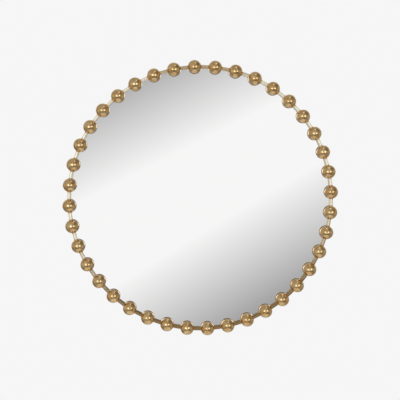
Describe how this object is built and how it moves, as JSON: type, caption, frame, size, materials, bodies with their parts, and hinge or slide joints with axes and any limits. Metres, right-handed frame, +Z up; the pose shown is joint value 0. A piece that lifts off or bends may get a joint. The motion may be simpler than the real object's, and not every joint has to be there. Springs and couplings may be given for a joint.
{
  "type": "round wall mirror",
  "caption": "Round wall mirror: a flat silvered glass in a shallow hoop, with a ring of brass balls on a round bar round its front edge, hung by strap hangers with D-rings.",
  "frame": {"origin": "on the wall plane, behind the centre of the glass, where the mirror's axis meets the bumpers' rear faces", "axes": "+X to the right seen from the front, +Y towards the wall, +Z up; the mirror faces -Y"},
  "size_m": [0.799, 0.0495, 0.799],
  "materials": {
    "bead_brass": "burnished brass, faintly mottled and darker in the hollows",
    "rod_brass": "drawn brass bar, burnished",
    "hoop_brass": "brass-plated steel, satin",
    "mirror_plate": "float glass silvered on its back, ground edge",
    "foam_tape": "closed-cell foam",
    "board": "fibreboard, bare",
    "zinc_tab": "zinc-plated strip",
    "screw_steel": "zinc-plated, passivated",
    "hanger_steel": "zinc-plated, tumbled",
    "ring_wire": "zinc-plated wire",
    "bumper_rubber": "soft black rubber"
  },
  "bodies": {
    "mirror": {"rim_hoop": "hoop_brass", "bead_rod": "rod_brass", "bead_01": "bead_brass", "bead_02": "bead_brass", "bead_03": "bead_brass", "bead_04": "bead_brass", "bead_05": "bead_brass", "bead_06": "bead_brass", "bead_07": "bead_brass", "bead_08": "bead_brass", "bead_09": "bead_brass", "bead_10": "bead_brass", "bead_11": "bead_brass", "bead_12": "bead_brass", "bead_13": "bead_brass", "bead_14": "bead_brass", "bead_15": "bead_brass", "bead_16": "bead_brass", "bead_17": "bead_brass", "bead_18": "bead_brass", "bead_19": "bead_brass", "bead_20": "bead_brass", "bead_21": "bead_brass", "bead_22": "bead_brass", "bead_23": "bead_brass", "bead_24": "bead_brass", "bead_25": "bead_brass", "bead_26": "bead_brass", "bead_27": "bead_brass", "bead_28": "bead_brass", "bead_29": "bead_brass", "bead_30": "bead_brass", "bead_31": "bead_brass", "bead_32": "bead_brass", "bead_33": "bead_brass", "bead_34": "bead_brass", "bead_35": "bead_brass", "bead_36": "bead_brass", "bead_37": "bead_brass", "bead_38": "bead_brass", "bead_39": "bead_brass", "bead_40": "bead_brass", "mirror_glass": "mirror_plate", "foam_tape": "foam_tape", "backing_board": "board", "retaining_tab_1": "zinc_tab", "retaining_tab_2": "zinc_tab", "retaining_tab_3": "zinc_tab", "retaining_tab_4": "zinc_tab", "retaining_tab_5": "zinc_tab", "retaining_tab_6": "zinc_tab", "tab_screws": "screw_steel", "left_hanger_strap": "hanger_steel", "left_hanger_screws": "screw_steel", "right_hanger_strap": "hanger_steel", "right_hanger_screws": "screw_steel", "wall_bumpers": "bumper_rubber"},
    "left_ring": {"left_d_ring": "ring_wire"},
    "right_ring": {"right_d_ring": "ring_wire"}
  },
  "joints": [
    {"name": "left_ring_swing", "type": "hinge", "parent": "mirror", "child": "left_ring", "pos_m": [-0.2, -0.006, 0.19], "axis": [1, 0, 0], "range_deg": [0, 180]},
    {"name": "right_ring_swing", "type": "hinge", "parent": "mirror", "child": "right_ring", "pos_m": [0.2, -0.006, 0.19], "axis": [1, 0, 0], "range_deg": [0, 180]}
  ]
}
